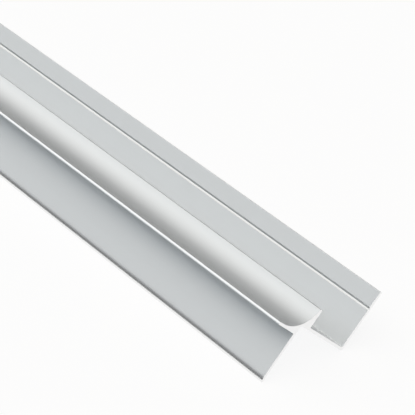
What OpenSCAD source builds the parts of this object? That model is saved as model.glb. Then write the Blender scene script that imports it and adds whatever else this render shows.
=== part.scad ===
// Extruded aluminium grip profile for the edge of an 18 mm board.
// One length of stock: a Z-shaped section with two parallel flanges, a thin web between them,
// and a concave finger cove where the web meets the front flange.
// The section is drawn flat, then turned to the slant at which the stock lies on a floor:
// on the thin edge of its front flange and on the outer corner below its web.

/* [Stock] */
// Length of the cut stock
length = 1000; // [200:50:3000]
// Thickness of the web and of both flanges
wall = 1; // [0.8:0.1:1.8]

/* [Board slot] */
// Clear gap between the wing and the back flange
slot_gap = 18.5; // [10:0.5:30]
// Reach of the wing over the board, from the web's inner face
wing_reach = 6.5; // [4:0.1:9]
// Thickness of the wing at its rounded tip
wing_tip_t = 1; // [0.6:0.1:1.6]

/* [Finger cove] */
// Radius of the hollow that the fingertips pull on
cove_r = 10.9; // [9:0.1:18]
// Height of the lip's outer edge above the front flange
lip_rise = 8.5; // [5:0.1:14]
// Thickness of the lip
lip_t = 1; // [0.8:0.1:2]
// Slope of the lip's top, down towards the hollow, in degrees
lip_slope = 10; // [0:1:20]
// Straight stretch of the lip's inner face, between the hollow and the rounded edge
lip_straight = 1.5; // [0.2:0.1:3]
// Setback of the web's outer face behind the lip's outer face
web_setback = 3.2; // [1.5:0.1:6]

/* [Front flange] */
// Width of the front flange, from the lip's outer face to its thin edge
front_w = 17.7; // [8:0.1:40]
// Radius over which the front flange starts to thin towards its edge
front_taper_r = 7; // [4:0.1:9]
// Angle through which that radius turns, in degrees
front_taper_turn = 16; // [8:1:20]
// Smaller radius that rounds the rest down to the edge
front_nose_r = 1.6; // [1:0.1:3]
// Height of the upright face left at the thin edge
front_edge_t = 0.2; // [0.1:0.05:0.25]

/* [Back flange] */
// Width of the back flange, from the web's inner face to its outer edge
back_w = 21; // [12:0.1:40]
// Distance of the drill line from the outer edge
groove_inset = 6.4; // [3:0.1:9]
// Width of the drill line, a shallow V
groove_w = 1.2; // [0.6:0.1:2]
// Depth of the drill line
groove_d = 0.35; // [0.2:0.05:0.6]

/* [Corner radii] */
// Radius in the two corners of the slot and at the foot of the lip
inner_r = 0.3; // [0.2:0.1:1.5]
// Radius along the two edges of the lip's top
lip_edge_r = 0.25; // [0.1:0.05:0.35]
// Radius under the front flange, where it meets the web
root_r = 1; // [0.4:0.1:2]
// Radius of the outer corner between the web and the back flange
heel_r = 0.6; // [0.2:0.1:1]
// Radius along the two arrises of the back flange's outer edge
arris_r = 0.3; // [0.1:0.05:0.35]

/* [Hidden] */

// Fineness of the drawn arcs
$fn = 96;
// Spare length by which one outline reaches into the next, or a cutter past a face
lap = 0.2;
// Overlap of an arc with what it runs into, because arcs that only touch leave no clear meeting point
hair = 0.0001;

// The flat section has its zero on the front flange's upper face, at the foot of the lip.
web_in = web_setback + wall;

// Height of the lip's sloping top, and the middles of the arcs along its two edges
function lip_top(x) = lip_rise - x * tan(lip_slope);
function lip_arc(x) = [x, lip_top(x) - lip_edge_r / cos(lip_slope) + hair];
lip_out = lip_arc(lip_edge_r);
lip_in = lip_arc(lip_t - lip_edge_r);
cove = [lip_t + cove_r, lip_in.y - lip_straight];

// The wing's tip is a small circle set against the cove's circle, so the two arcs run together.
wing_tip_r = wing_tip_t / 2;
wing_tip_x = web_in + wing_reach - wing_tip_r;
wing_tip_y = cove.y - sqrt(pow(cove_r + wing_tip_r - hair, 2) - pow(cove.x - wing_tip_x, 2));
wing_tip = [wing_tip_x, wing_tip_y];
wing_under = wing_tip_y - wing_tip_r;

// Levels of the back flange, and its outer edge
back_face = wing_under - slot_gap;
back_under = back_face - wall;
back_edge = web_in + back_w;
groove_flare = 1 + lap / groove_d;

// The front flange's nose: a wide arc that starts it, and a small arc that runs on down to the edge.
// A thick wall needs a small arc wide enough not to curl under.
nose_turn_max = 80;
nose_drop = wall - front_edge_t - front_taper_r * (1 - cos(front_taper_turn));
nose_r = max(front_nose_r, nose_drop / (cos(front_taper_turn) - cos(nose_turn_max)));
nose_turn = acos(cos(front_taper_turn) - nose_drop / nose_r);
taper_side = (front_taper_r - nose_r) * sin(front_taper_turn);
nose_start = -front_w + nose_r * sin(nose_turn) + taper_side;
function on_taper(turn) = [nose_start, -front_taper_r] + front_taper_r * [-sin(turn), cos(turn)];
nose_joint = on_taper(front_taper_turn);
nose_mid = nose_joint + (nose_r - hair) * [sin(front_taper_turn), -cos(front_taper_turn)];
function on_nose(turn) = nose_mid + nose_r * [-sin(turn), cos(turn)];

// Slant at rest: the thin edge's lower corner and the heel's arc touch one level line.
thin_corner = [-front_w, -wall];
heel = [web_setback + heel_r, back_under + heel_r];
span = heel - thin_corner;
slant = asin(heel_r / norm(span)) - atan2(span.y, span.x);

// Floor line and the two sideways limits of the slanted section
function across(p) = p.x * cos(slant) - p.y * sin(slant);
function height(p) = p.x * sin(slant) + p.y * cos(slant);
side_turn = min(nose_turn, 90 - slant);
taper_low = across(on_taper(min(side_turn, front_taper_turn)));
nose_low = across(on_nose(max(side_turn, front_taper_turn)));
arris = [back_edge - arris_r, back_under + arris_r];
side_low = min(taper_low, nose_low);
side_high = across(arris) + arris_r;
middle = (side_low + side_high) / 2;
floor_line = height(thin_corner);

// The bit between two faces along +X and +Y and an arc of radius r that joins them:
// filled in at an inside corner, and cut away at an outside one
module corner(r) {
    difference() {
        translate([-lap, -lap]) square(r + lap);
        translate([r, r]) circle(r);
    }
}

// The bit outside an arc of the lip's edge, between two of its spokes: cut away to round that edge
module easing(from, to) {
    far = 3 * lip_edge_r;
    between = (from + to) / 2;
    difference() {
        polygon([
            [0, 0],
            far * [cos(from), sin(from)],
            2 * far * [cos(between), sin(between)],
            far * [cos(to), sin(to)]
        ]);
        circle(lip_edge_r);
    }
}

// Front flange with its top running down to a thin edge
module front_flange() {
    translate([nose_start, -wall]) square([web_in - nose_start, wall]);
    intersection() {
        translate([nose_joint.x, -wall]) square([nose_start - nose_joint.x + lap, wall]);
        translate([nose_start, -front_taper_r]) circle(front_taper_r);
    }
    intersection() {
        translate([-front_w, -wall]) square([nose_joint.x + front_w + lap, wall]);
        translate(nose_mid) circle(nose_r);
    }
}

// Lip, wing and the metal between them, before the cove is cut
module cove_body() {
    polygon([
        [0, -wall],
        [web_in, -wall],
        [web_in, cove.y],
        [lip_t, cove.y],
        [lip_t, lip_top(lip_t)],
        [0, lip_rise]
    ]);
    polygon([
        [web_setback, wing_under],
        [wing_tip.x, wing_under],
        wing_tip,
        cove,
        [web_setback, cove.y]
    ]);
    translate(wing_tip) circle(wing_tip_r);
}

// Web and back flange, with the drill line and the rounded arrises
module web_and_back() {
    difference() {
        union() {
            translate([web_setback, back_under]) square([wall, -back_under]);
            translate([web_setback, back_under]) square([back_edge - web_setback, wall]);
        }
        translate([web_setback, back_under]) corner(heel_r);
        translate([back_edge, back_under]) mirror([1, 0]) corner(arris_r);
        translate([back_edge, back_face]) rotate(180) corner(arris_r);
        translate([back_edge - groove_inset, back_face])
            polygon([[-groove_flare * groove_w / 2, lap], [0, -groove_d], [groove_flare * groove_w / 2, lap]]);
    }
}

// Small radii that the die leaves in the inside corners
module inside_corners() {
    mirror([1, 0]) corner(inner_r);
    translate([web_setback, -wall]) rotate(180) corner(root_r);
    translate([web_in, wing_under]) mirror([0, 1]) corner(inner_r);
    translate([web_in, back_face]) corner(inner_r);
}

// Whole section: the cove is cut last, through everything in its way, and the lip's edges are eased
module section() {
    difference() {
        union() {
            front_flange();
            cove_body();
            web_and_back();
            inside_corners();
        }
        translate(cove) circle(cove_r);
        translate(lip_out) easing(90 - lip_slope, 180);
        translate(lip_in) easing(0, 90 - lip_slope);
    }
}

// The whole length, lying on the floor along X with its middle at zero
module profile() {
    color("#c6cdd2")
        rotate([90, 0, 90])
            linear_extrude(height = length, center = true)
                translate([-middle, -floor_line])
                    rotate(slant)
                        section();
}

profile();
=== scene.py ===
# %% [markdown]
# # An aluminium edge profile
# The part is one length of extruded aluminium, made to slip over the edge of an 18 mm board. Its section
# looks like a Z: a front flange, a lip, a hollow cove for the fingertips, a wing, a web and a back flange.
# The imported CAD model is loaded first. It is the fixed frame: it says where the stock lies and how long it
# is, and this script only gives it a finer skin, a finish, a floor, light and a camera.

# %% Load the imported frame
import math

import bmesh
import bpy
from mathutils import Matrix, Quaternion, Vector


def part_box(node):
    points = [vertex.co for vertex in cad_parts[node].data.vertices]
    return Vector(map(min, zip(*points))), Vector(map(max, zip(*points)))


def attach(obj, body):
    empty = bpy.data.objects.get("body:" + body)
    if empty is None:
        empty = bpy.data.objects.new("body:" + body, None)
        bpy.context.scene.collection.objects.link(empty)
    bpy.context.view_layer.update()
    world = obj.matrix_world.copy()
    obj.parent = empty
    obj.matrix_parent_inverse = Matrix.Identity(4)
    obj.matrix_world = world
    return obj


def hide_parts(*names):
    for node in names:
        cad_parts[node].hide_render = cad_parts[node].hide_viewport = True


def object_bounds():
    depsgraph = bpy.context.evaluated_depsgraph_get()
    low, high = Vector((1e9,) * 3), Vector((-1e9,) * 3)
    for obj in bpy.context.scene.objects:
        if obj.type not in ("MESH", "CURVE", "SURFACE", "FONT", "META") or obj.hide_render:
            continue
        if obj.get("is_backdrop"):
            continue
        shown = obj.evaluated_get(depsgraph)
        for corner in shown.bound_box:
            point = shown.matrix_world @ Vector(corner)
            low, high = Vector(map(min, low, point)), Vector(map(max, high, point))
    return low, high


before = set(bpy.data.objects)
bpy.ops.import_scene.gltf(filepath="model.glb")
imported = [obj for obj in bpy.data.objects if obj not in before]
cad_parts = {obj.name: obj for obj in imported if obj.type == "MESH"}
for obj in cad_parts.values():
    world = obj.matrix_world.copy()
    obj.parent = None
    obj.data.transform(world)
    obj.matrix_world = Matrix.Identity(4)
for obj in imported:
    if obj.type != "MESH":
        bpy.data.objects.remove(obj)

NODE = "profile"
cad_low, cad_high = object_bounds()
stock_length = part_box(NODE)[1].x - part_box(NODE)[0].x
print(f"CAD box {tuple(cad_high - cad_low)} m, stock {stock_length:.3f} m long")

# %% [markdown]
# ## The section's sizes
# An extrusion die is drawn in millimetres, so the sizes are written that way and turned into metres once.
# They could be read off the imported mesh, but sizes with names let the finish find each face again later.
# The flat section has its zero at the foot of the lip, on the front flange's upper face. The first number of
# a place runs across the flanges, the second one away from them.

# %% Sizes of the section
MM = 0.001

wall = 1 * MM
slot_gap = 18.5 * MM
wing_reach = 6.5 * MM
wing_tip_radius = 0.5 * MM
cove_radius = 10.9 * MM
lip_rise = 8.5 * MM
lip_thickness = 1 * MM
lip_edge_radius = 0.25 * MM
lip_slope = math.radians(10)
lip_straight = 1.5 * MM
web_setback = 3.2 * MM
front_width = 17.7 * MM
taper_radius = 7 * MM
taper_turn = math.radians(16)
nose_radius = 1.6 * MM
thin_edge = 0.2 * MM
back_width = 21 * MM
groove_inset = 6.4 * MM
groove_half = 0.6 * MM
groove_depth = 0.35 * MM
inside_radius = 0.3 * MM
root_radius = 1 * MM
heel_radius = 0.6 * MM
arris_radius = 0.3 * MM
print(f"walls of {wall / MM:.1f} mm around a slot of {slot_gap / MM:.1f} mm")

# %% Places that follow from them
web_inside = web_setback + wall
lip_outer_up = lip_rise - lip_edge_radius * (math.tan(lip_slope) + 1 / math.cos(lip_slope))
lip_inner_up = lip_outer_up - (lip_thickness - 2 * lip_edge_radius) * math.tan(lip_slope)
cove_centre = Vector((lip_thickness + cove_radius, lip_inner_up - lip_straight))
wing_tip_across = web_inside + wing_reach - wing_tip_radius
wing_angle = math.acos((cove_centre.x - wing_tip_across) / (cove_radius + wing_tip_radius))
wing_tip_up = cove_centre.y - (cove_radius + wing_tip_radius) * math.sin(wing_angle)
wing_under = wing_tip_up - wing_tip_radius
back_face = wing_under - slot_gap
back_under = back_face - wall
back_edge = web_inside + back_width
groove_middle = back_edge - groove_inset
nose_drop = wall - thin_edge - taper_radius * (1 - math.cos(taper_turn))
nose_turn = math.acos(math.cos(taper_turn) - nose_drop / nose_radius)
nose_across = nose_radius * math.sin(nose_turn) - front_width
nose_up = thin_edge - wall - nose_radius * math.cos(nose_turn)
taper_across = nose_across + (taper_radius - nose_radius) * math.sin(taper_turn)
nose_joint = taper_across - taper_radius * math.sin(taper_turn)
print(f"wing's underside at {wing_under / MM:.3f} mm, back flange at {back_face / MM:.3f} mm")

# %% [markdown]
# ## A pen for the outline
# A section like this is drawn by hand in edit mode: one vertex is extruded along each straight stretch and
# spun about a centre for each round one. The same two operators make a small pen here. A curve object could
# hold the outline too, but a spun vertex gives true arcs with as many steps as the curve needs, so the
# large hollow and the tiny corners come out equally smooth. Without a window, spin turns clockwise for a
# positive angle.

# %% The pen
CHORD_GAP = 0.0015 * MM
pen_at = Vector((0, 0))


def start_pen(name, across, up):
    """Shrinks a small plane to one vertex at the outline's first place."""
    bpy.ops.object.select_all(action="DESELECT")
    bpy.ops.mesh.primitive_plane_add(size=wall)
    piece = bpy.context.object
    piece.name = name
    bpy.ops.object.mode_set(mode="EDIT")
    bpy.ops.mesh.select_mode(type="VERT")
    bpy.ops.mesh.select_all(action="SELECT")
    bpy.ops.mesh.merge(type="CENTER")
    bpy.ops.mesh.select_all(action="SELECT")
    bpy.ops.transform.translate(value=(0, across, up))
    pen_at.xy = (across, up)
    return piece


def line_to(across, up):
    """Draws a straight stretch."""
    step = Vector((across, up)) - pen_at
    bpy.ops.mesh.extrude_region_move(TRANSFORM_OT_translate={"value": (0, step.x, step.y)})
    pen_at.xy = (across, up)


def arc_about(across, up, turn):
    """Draws a round stretch about a centre. A positive turn runs counterclockwise."""
    centre = Vector((across, up))
    spoke = pen_at - centre
    widest = 2 * math.acos(1 - CHORD_GAP / spoke.length)
    steps = math.ceil(abs(turn) / widest)
    bpy.ops.mesh.spin(steps=steps, angle=-turn, center=(0, across, up), axis=(1, 0, 0))
    turned_across = spoke.x * math.cos(turn) - spoke.y * math.sin(turn)
    turned_up = spoke.x * math.sin(turn) + spoke.y * math.cos(turn)
    pen_at.xy = centre + Vector((turned_across, turned_up))


# %% [markdown]
# ## Drawing the section
# The outline runs clockwise from the thin front edge: up over the nose, along the front flange, round the
# lip, down through the cove to the wing, into the board slot, along the back flange with its V-shaped drill
# line, and back under everything. Joined bars could make the same form, but metal from a die has no seams,
# so it is one closed line. Every place is named by the sizes above.

# %% Front flange and lip
QUARTER = math.pi / 2
profile = start_pen("edge_profile", -front_width, -wall)
line_to(-front_width, thin_edge - wall)
arc_about(nose_across, nose_up, taper_turn - nose_turn)
arc_about(taper_across, -taper_radius, -taper_turn)
line_to(-inside_radius, 0)
arc_about(-inside_radius, inside_radius, QUARTER)
line_to(0, lip_outer_up)
arc_about(lip_edge_radius, lip_outer_up, -QUARTER - lip_slope)
line_to(
    lip_thickness - lip_edge_radius * (1 - math.sin(lip_slope)),
    lip_inner_up + lip_edge_radius * math.cos(lip_slope),
)
arc_about(lip_thickness - lip_edge_radius, lip_inner_up, lip_slope - QUARTER)
line_to(lip_thickness, cove_centre.y)
print(f"lip drawn, pen at {pen_at / MM}")

# %% Cove and wing
arc_about(*cove_centre, wing_angle)
arc_about(wing_tip_across, wing_tip_up, -QUARTER - wing_angle)
line_to(web_inside + inside_radius, wing_under)
arc_about(web_inside + inside_radius, wing_under - inside_radius, QUARTER)
print(f"wing drawn, pen at {pen_at / MM}")

# %% Slot, back flange and drill line
line_to(web_inside, back_face + inside_radius)
arc_about(web_inside + inside_radius, back_face + inside_radius, QUARTER)
line_to(groove_middle - groove_half, back_face)
line_to(groove_middle, back_face - groove_depth)
line_to(groove_middle + groove_half, back_face)
line_to(back_edge - arris_radius, back_face)
arc_about(back_edge - arris_radius, back_face - arris_radius, -QUARTER)
line_to(back_edge, back_under + arris_radius)
arc_about(back_edge - arris_radius, back_under + arris_radius, -QUARTER)
print(f"back flange drawn, pen at {pen_at / MM}")

# %% Heel, web and underside
WELD_GAP = CHORD_GAP / 10
line_to(web_setback + heel_radius, back_under)
arc_about(web_setback + heel_radius, back_under + heel_radius, -QUARTER)
line_to(web_setback, -wall - root_radius)
arc_about(web_setback - root_radius, -wall - root_radius, QUARTER)
line_to(-front_width, -wall)
bpy.ops.mesh.select_all(action="SELECT")
bpy.ops.mesh.remove_doubles(threshold=WELD_GAP)
print(f"outline closed with {len(bmesh.from_edit_mesh(profile.data).verts)} points")

# %% [markdown]
# ## Leaning it as it lies
# Cut stock of this shape doesn't lie flat: it rests on the thin front edge and on the heel below the web.
# A drop in a simulation could find that rest, but the slant follows from the two contacts by a little
# trigonometry. The outline is turned by it, and then set down so that it touches the floor and is centred
# over the frame's zero. Without a window, rotate turns the other way too, so it gets the negative angle and
# its own centre.

# %% Slant, and down to the floor
contact_gap = Vector((web_setback + heel_radius + front_width, back_under + heel_radius + wall))
slant = math.asin(heel_radius / contact_gap.length) - math.atan2(contact_gap.y, contact_gap.x)
bpy.ops.mesh.select_all(action="SELECT")
bpy.ops.transform.rotate(value=-slant, orient_axis="X", center_override=(0, 0, 0))
points = [v.co.copy() for v in bmesh.from_edit_mesh(profile.data).verts]
lowest = min(p.z for p in points)
middle = (min(p.y for p in points) + max(p.y for p in points)) / 2
bpy.ops.transform.translate(value=(-stock_length / 2, -middle, -lowest))
print(f"slant {math.degrees(slant):.3f} degrees")
print(f"moved {-middle / MM:.3f} mm across and {-lowest / MM:.3f} mm up")

# %% [markdown]
# ## Pushing it through the die
# Filling the outline gives the cut end, and extruding that face along X does what the press does: it makes
# the whole length with one section. A bevelled curve could do it too, but here both ends are closed at once.
# The saw leaves a fine burr that is wiped off with a file, so the rims of both ends get a tiny bevel. It
# catches a thread of light, which is how a cut edge shows in a photo.

# %% Extrude the length
bpy.ops.mesh.select_all(action="SELECT")
bpy.ops.mesh.edge_face_add()
bpy.ops.mesh.extrude_region_move(TRANSFORM_OT_translate={"value": (stock_length, 0, 0)})
bpy.ops.mesh.select_all(action="SELECT")
bpy.ops.mesh.normals_make_consistent(inside=False)
print(f"{len(bmesh.from_edit_mesh(profile.data).faces)} faces along the stock")

# %% File the rims of both ends
RIM_BEVEL = 0.06 * MM
RIM_STEPS = 2
SAME_PLACE = 1e-7
bpy.ops.mesh.select_all(action="DESELECT")
bpy.ops.mesh.select_mode(type="EDGE")
mesh = bmesh.from_edit_mesh(profile.data)
for edge in mesh.edges:
    edge.select = abs(edge.verts[0].co.x - edge.verts[1].co.x) < SAME_PLACE
mesh.select_flush_mode()
bmesh.update_edit_mesh(profile.data)
bpy.ops.mesh.bevel(offset=RIM_BEVEL, segments=RIM_STEPS, affect="EDGES")
bpy.ops.object.mode_set(mode="OBJECT")
print(f"{len(profile.data.polygons)} faces with filed rims")

# %% [markdown]
# ## Round arcs and flat flats
# On the real stock the light glides round each arc and stays even on each flat. More steps in the arcs
# could give that, but shading does it with fewer faces: only corners sharper than an angle stay sharp, and
# weighted normals let the large flats win over the narrow faces of the arcs beside them. Then the piece
# takes the place of the solid in the frame.

# %% Smooth the arcs and keep the flats flat
SHARP_FROM = math.radians(20)
bpy.ops.object.shade_smooth_by_angle(angle=SHARP_FROM)
flats = profile.modifiers.new("flats", "WEIGHTED_NORMAL")
flats.keep_sharp = True
bpy.ops.object.modifier_apply(modifier=flats.name)
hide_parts(NODE)
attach(profile, "root")
print(f"{profile.name} stands in for {NODE}, sharp from {math.degrees(SHARP_FROM):.0f} degrees on")

# %% [markdown]
# ## Writing shaders as sums
# A finish is a chain of small calculations on numbers. Clicking them together as Math nodes hides what they
# mean, so a small class wraps a socket: adding or multiplying two of them puts the Math node in by itself.
# Every other node comes from one method that sets the node up first and then feeds its sockets.

# %% A socket that does sums
class Wire:
    """An output socket of a node tree, or the tree alone, from which more nodes are made."""

    def __init__(self, tree, socket=None):
        self.tree = tree
        self.socket = socket

    def node(self, kind, settings=None, values=None, out=0):
        """Makes a node, sets it up, feeds its sockets with numbers or wires, and returns one output."""
        made = self.tree.nodes.new(kind)
        for name, value in (settings or {}).items():
            if name == "stops":
                ramp = made.color_ramp
                while len(ramp.elements) < len(value):
                    ramp.elements.new(0.5)
                for element, (position, colour) in zip(ramp.elements, value):
                    element.position = position
                    element.color = (*colour, 1)
            else:
                setattr(made, name, value)
        for name, value in (values or {}).items():
            if isinstance(value, Wire):
                self.tree.links.new(value.socket, made.inputs[name])
            else:
                made.inputs[name].default_value = value
        return Wire(self.tree, made.outputs[out] if made.outputs else None)

    def maths(self, operation, *values):
        """Makes a Math node."""
        return self.node("ShaderNodeMath", {"operation": operation}, dict(enumerate(values)))

    def __add__(self, other):
        return self.maths("ADD", self, other)

    def __radd__(self, other):
        return self.maths("ADD", other, self)

    def __sub__(self, other):
        return self.maths("SUBTRACT", self, other)

    def __rsub__(self, other):
        return self.maths("SUBTRACT", other, self)

    def __mul__(self, other):
        return self.maths("MULTIPLY", self, other)

    def __rmul__(self, other):
        return self.maths("MULTIPLY", other, self)

    def __truediv__(self, other):
        return self.maths("DIVIDE", self, other)

    def __rtruediv__(self, other):
        return self.maths("DIVIDE", other, self)


# %% Material helpers
FIRST_COLOUR = 6
SECOND_COLOUR = 7
MIXED_COLOUR = 2


def new_material(name):
    """An empty node material, and the wire that its nodes are made from."""
    material = bpy.data.materials.new(name)
    material.use_nodes = True
    material.node_tree.nodes.clear()
    return material, Wire(material.node_tree)


def blend(wire, share, first, second):
    """A colour between two others. The Mix node's colour sockets are reached by their numbers."""
    return wire.node(
        "ShaderNodeMix",
        {"data_type": "RGBA"},
        {"Factor": share, FIRST_COLOUR: first, SECOND_COLOUR: second},
        MIXED_COLOUR,
    )


def metal(wire, colour, rough, bump):
    """Ends a material with a bare metal surface."""
    shader = wire.node(
        "ShaderNodeBsdfPrincipled",
        values={"Base Color": colour, "Metallic": 1.0, "Roughness": rough, "Normal": bump},
    )
    wire.node("ShaderNodeOutputMaterial", values={"Surface": shader})


# %% [markdown]
# ## Finding the place on the section
# The finish differs a little over the section: some edges are glossier, and the nose gets a painted
# highlight in its colour. Such places could be painted on, but the section is known exactly, so they are
# worked out. A shader only knows where a point lies in the room, so the slant is taken out again: what is
# left are the same two numbers, across and up, in which the outline was drawn.

# %% Back to the flat section
def flat_place(wire, place):
    """A place on the lying stock as millimetres across and up in the flat section."""
    back = wire.node("ShaderNodeSeparateXYZ", values={0: place}, out="Y") + middle
    high = wire.node("ShaderNodeSeparateXYZ", values={0: place}, out="Z") + lowest
    across = (back * math.cos(slant) + high * math.sin(slant)) / MM
    up = (high * math.cos(slant) - back * math.sin(slant)) / MM
    return across, up


def rise(wire, value, low, high):
    """A soft step from 0 to 1 between two values."""
    return wire.node(
        "ShaderNodeMapRange",
        {"interpolation_type": "SMOOTHSTEP"},
        {"Value": value, "From Min": low, "From Max": high},
    )


def stretched_noise(wire, place, along, around, detail):
    """Noise with that many waves a metre along the stock and around it."""
    scaled = wire.node(
        "ShaderNodeVectorMath",
        {"operation": "MULTIPLY"},
        {0: place, 1: (along, around, around)},
    )
    return wire.node(
        "ShaderNodeTexNoise",
        values={"Vector": scaled, "Scale": 1.0, "Detail": detail},
        out="Fac",
    )


# %% [markdown]
# ## Satin anodised aluminium
# Before anodising, stock like this is etched to an even satin. It is bare metal under a clear skin, so the
# shader is fully metallic with a nearly neutral grey and a broad gloss. What gives it away as an extrusion
# are the die lines: faint streaks that run the whole length. A picture could hold them, but noise that is
# drawn out far along X needs no unwrapping, and it changes the colour, the gloss and the bump a little. The
# thin front edge and the lip's top touch everything that the stock slides over, so they are rubbed glossier
# than the rest, and the nose's colour is lifted to near white as a painted highlight of the bright floor
# that it mirrors. The drill line is glossier too, because the die's fine point irons it.

# %% Values of the satin finish
SATIN_DARK = (0.670, 0.692, 0.703, 1)
SATIN_LIGHT = (0.722, 0.745, 0.756, 1)
# The colour that the nose is lifted to: a painted highlight.
NOSE_PAINTED_HIGHLIGHT = (0.90, 0.90, 0.895, 1)
SATIN_ROUGH = 0.65
NOSE_ROUGH = 0.27
LIP_ROUGH = 0.47
LINE_ROUGH = 0.30
LINE_CORE = 0.7
DIE_LINES = {"along": 0.8, "around": 2600, "detail": 2.0}
STREAKS = {"along": 1.5, "around": 380, "detail": 2.0}
PATCHES = {"along": 14, "around": 40, "detail": 3.0}
NOISE_MEAN = 0.5
STREAK_TONE = 0.4
DIE_LINE_TONE = 0.3
PATCH_TONE = 0.2
ROUGH_SWING = 0.05
DIE_LINE_RELIEF = 0.6
STREAK_RELIEF = 0.8
SATIN_BUMP = {"Strength": 0.10, "Distance": 0.02 * MM}
print(f"roughness {SATIN_ROUGH} on the flats, {NOSE_ROUGH} on the nose, {LIP_ROUGH} on the lip's top")


# %% Satin finish
def rubbed_places(wire, place):
    """How much smoother than the flats each place is, and a mask of the nose, where a highlight is painted.
    """
    across, up = flat_place(wire, place)
    nose = 1 - rise(wire, across, nose_joint / MM, taper_across / MM)
    lip = rise(wire, up, lip_inner_up / MM, lip_outer_up / MM)
    beside_line = wire.maths("ABSOLUTE", across - groove_middle / MM)
    in_top_face = rise(wire, up, back_under / MM, (back_face - groove_depth) / MM)
    line = in_top_face * (1 - rise(wire, beside_line, LINE_CORE * groove_half / MM, groove_half / MM))
    smoother = nose * (SATIN_ROUGH - NOSE_ROUGH)
    smoother = smoother + lip * (SATIN_ROUGH - LIP_ROUGH)
    smoother = smoother + line * (SATIN_ROUGH - LINE_ROUGH)
    return smoother, nose


def satin_anodised():
    """The finish of everything that came out of the die."""
    material, wire = new_material("satin_anodised")
    place = wire.node("ShaderNodeTexCoord", out="Object")
    smoother, nose = rubbed_places(wire, place)
    die_lines = stretched_noise(wire, place, **DIE_LINES)
    streaks = stretched_noise(wire, place, **STREAKS)
    patches = stretched_noise(wire, place, **PATCHES)
    tone = (streaks - NOISE_MEAN) * STREAK_TONE + (die_lines - NOISE_MEAN) * DIE_LINE_TONE
    tone = tone + (patches - NOISE_MEAN) * PATCH_TONE + NOISE_MEAN
    colour = blend(wire, tone, SATIN_DARK, SATIN_LIGHT)
    # The nose's colour is lifted to near white: a painted highlight of the floor that it mirrors.
    nose_highlit_colour = blend(wire, nose, colour, NOSE_PAINTED_HIGHLIGHT)
    rough = SATIN_ROUGH - smoother
    rough = rough + (streaks - NOISE_MEAN) * ROUGH_SWING + (patches - NOISE_MEAN) * ROUGH_SWING
    relief = die_lines * DIE_LINE_RELIEF + streaks * STREAK_RELIEF
    bump = wire.node("ShaderNodeBump", values={**SATIN_BUMP, "Height": relief})
    metal(wire, nose_highlit_colour, rough, bump)
    return material


# %% [markdown]
# ## Sawn ends
# A circular saw leaves a bright bare face with faint arcs in it, one for each tooth that passed. A picture
# of a sawn face could give them. Here they are rings about the saw's axle, which stands well clear of the
# stock, so they cross the thin walls almost straight and are the same at any length.

# %% Values of the sawn finish
SAWN_DARK = (0.91, 0.91, 0.905, 1)
SAWN_LIGHT = (0.965, 0.96, 0.955, 1)
SAWN_ROUGH = 0.38
SAWN_SWING = 0.1
SAW_AXLE = (0, 90 * MM, 130 * MM)
ACROSS_STOCK = (0, 1, 1)
RING_WAVES = 5200
GRAIN = {"along": 6000, "around": 6000, "detail": 2.0}
GRAIN_RELIEF = 0.3
SAWN_BUMP = {"Strength": 0.25, "Distance": 0.02 * MM}
print(f"saw's axle {math.hypot(*SAW_AXLE) / MM:.0f} mm away, {1 / RING_WAVES / MM:.2f} mm a ring")


# %% Sawn finish
def sawn():
    """The finish of the two cut ends."""
    material, wire = new_material("sawn_end")
    place = wire.node("ShaderNodeTexCoord", out="Object")
    spoke = wire.node("ShaderNodeVectorMath", {"operation": "SUBTRACT"}, {0: place, 1: SAW_AXLE})
    flat = wire.node("ShaderNodeVectorMath", {"operation": "MULTIPLY"}, {0: spoke, 1: ACROSS_STOCK})
    reach = wire.node("ShaderNodeVectorMath", {"operation": "LENGTH"}, {0: flat}, "Value")
    rings = wire.node(
        "ShaderNodeTexNoise",
        {"noise_dimensions": "1D"},
        {"W": reach * RING_WAVES, "Scale": 1.0},
        "Fac",
    )
    grain = stretched_noise(wire, place, **GRAIN)
    colour = blend(wire, rings, SAWN_DARK, SAWN_LIGHT)
    bump = wire.node("ShaderNodeBump", values={**SAWN_BUMP, "Height": rings + grain * GRAIN_RELIEF})
    metal(wire, colour, SAWN_ROUGH + (rings - NOISE_MEAN) * SAWN_SWING, bump)
    return material


# %% [markdown]
# ## Which face gets which finish
# The stock is anodised in long bars and sawn to length later, so only the cut ends are bare. They could be
# picked by hand, but they are the only faces that look along the stock, and a loop finds them by that.

# %% Put the two finishes on
END_FACING = 0.9
profile.data.materials.append(satin_anodised())
profile.data.materials.append(sawn())
for polygon in profile.data.polygons:
    polygon.material_index = int(abs(polygon.normal.x) > END_FACING)
cut_faces = sum(p.material_index for p in profile.data.polygons)
print(f"{cut_faces} sawn faces, {len(profile.data.polygons) - cut_faces} satin ones")

# %% [markdown]
# ## Floor
# The stock lies on a white table that has no visible end. The floor is a pale matt sheet that takes the
# stock's shadow. Stronger lamps could make it white, but they would burn the metal out. So a glow lifts it
# to paper white only for the camera and for what the metal mirrors.

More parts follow.
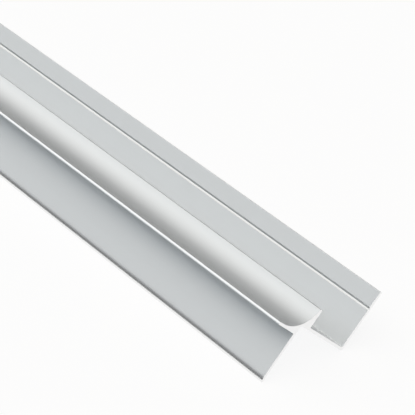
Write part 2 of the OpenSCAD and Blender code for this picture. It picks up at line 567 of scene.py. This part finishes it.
# %% White floor
FLOOR_SIZE = 12.0
FLOOR_PALE = (0.82, 0.82, 0.82, 1)
PAPER_WHITE = (1, 1, 1, 1)
SEEN_LIFT = 0.88
bpy.ops.object.select_all(action="DESELECT")
bpy.ops.mesh.primitive_plane_add(size=FLOOR_SIZE)
floor = bpy.context.object
floor.name = "floor"
floor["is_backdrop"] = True


def white_floor():
    """Matt white, lifted to paper white where it is seen."""
    material, wire = new_material("white_floor")
    seen = wire.node("ShaderNodeLightPath", out="Is Camera Ray")
    mirrored = wire.node("ShaderNodeLightPath", out="Is Glossy Ray")
    lift = wire.maths("MAXIMUM", seen * SEEN_LIFT, mirrored)
    matt = wire.node("ShaderNodeBsdfDiffuse", values={"Color": FLOOR_PALE})
    glow = wire.node("ShaderNodeEmission", values={"Color": PAPER_WHITE, "Strength": 1.0})
    lifted = wire.node("ShaderNodeMixShader", values={0: lift, 1: matt, 2: glow})
    wire.node("ShaderNodeOutputMaterial", values={"Surface": lifted})
    return material


floor.data.materials.append(white_floor())
print(f"floor of {FLOOR_SIZE:.0f} m, lifted by {SEEN_LIFT:.0%} for the camera")

# %% [markdown]
# ## Light
# Metal shows what stands around it, so the surroundings are the lighting. A photographer lights a long
# bright bar with strips that run along it, and leaves gaps between them that show as dark lines. Area lamps
# could be those strips. Here they are one ramp over the angle about the stock, from the front horizon over
# straight above to the back horizon, so each strip is one line in a list. The camera itself sees plain white
# beyond the table.

# %% Light strips along the stock
COOL = (0.93, 1.00, 1.05)
PLAIN = (1.00, 1.00, 1.00)
WARM = (1.03, 1.00, 0.965)
STRIPS = [
    (-90, 0.06, COOL),
    (-60, 0.15, COOL),
    (-48, 0.92, COOL),
    (-38, 1.74, PLAIN),
    (-28, 1.94, WARM),
    (-19, 1.88, WARM),
    (-8, 1.75, WARM),
    (8, 1.42, WARM),
    (24, 0.55, WARM),
    (36, 0.07, PLAIN),
    (90, 0.05, PLAIN),
]
BEYOND_TABLE = (0.98, 0.98, 0.98, 1)
HALF_TURN = 180
OVERHEAD = 0.5


def studio():
    """Surroundings that are the same all along the stock and change with the angle about it."""
    world = bpy.data.worlds.new("studio")
    world.use_nodes = True
    world.node_tree.nodes.clear()
    wire = Wire(world.node_tree)
    heading = wire.node("ShaderNodeTexCoord", out="Generated")
    back = wire.node("ShaderNodeSeparateXYZ", values={0: heading}, out="Y")
    up = wire.node("ShaderNodeSeparateXYZ", values={0: heading}, out="Z")
    share = wire.maths("ARCTAN2", back, up) / math.pi + OVERHEAD
    stops = [
        (degrees / HALF_TURN + OVERHEAD, [level * part for part in tint])
        for degrees, level, tint in STRIPS
    ]
    sky = wire.node("ShaderNodeValToRGB", {"stops": stops}, {0: share})
    light = wire.node("ShaderNodeBackground", values={"Color": sky, "Strength": 1.0})
    white = wire.node("ShaderNodeBackground", values={"Color": BEYOND_TABLE, "Strength": 1.0})
    seen = wire.node("ShaderNodeLightPath", out="Is Camera Ray")
    around = wire.node("ShaderNodeMixShader", values={0: seen, 1: light, 2: white})
    wire.node("ShaderNodeOutputWorld", values={"Surface": around})
    return world


scene = bpy.context.scene
scene.world = studio()
print(f"{len(STRIPS)} light levels about the stock, {len(scene.world.node_tree.nodes)} nodes")

# %% [markdown]
# ## Camera
# The photo looks down on the near cut end, along the stock, through a long lens. A camera could be aimed by
# eye, but lines that run so far into the picture show every slip. So its angles and place were found by
# matching the stock's long edges and the corners of its cut end.

# %% Camera
IMAGE_SIDE = 415
SENSOR = 36.0
NEAREST_SEEN = 0.01
focal_pixels = 2336.95
azimuth = math.radians(51.0075)
elevation = math.radians(31.0433)
roll = math.radians(3.4137)
camera_place = Vector((stock_length / 2 + 0.438164, -0.403023, 0.409606))

bpy.ops.object.camera_add(location=camera_place)
camera = bpy.context.object
camera.data.sensor_width = SENSOR
camera.data.lens = focal_pixels * SENSOR / IMAGE_SIDE
camera.data.clip_start = NEAREST_SEEN
to_camera = Vector((
    math.sin(azimuth) * math.cos(elevation),
    -math.cos(azimuth) * math.cos(elevation),
    math.sin(elevation),
))
camera.rotation_mode = "QUATERNION"
camera.rotation_quaternion = (-to_camera).to_track_quat("-Z", "Y") @ Quaternion((0, 0, 1), roll)
scene.camera = camera
scene.view_settings.view_transform = "Standard"
print(f"lens {camera.data.lens:.1f} mm")

# %% [markdown]
# ## Comparing and closing
# The new skin has to fill the same box as the imported solid, or the part would not fit what it is made for.
# The two boxes could be compared by eye in the viewport, but here the script prints how far they differ.

# %% Compare the boxes
visual_low, visual_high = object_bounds()
box_gap = max((visual_low - cad_low).length, (visual_high - cad_high).length)
print(f"the boxes differ by {box_gap / MM:.4f} mm")
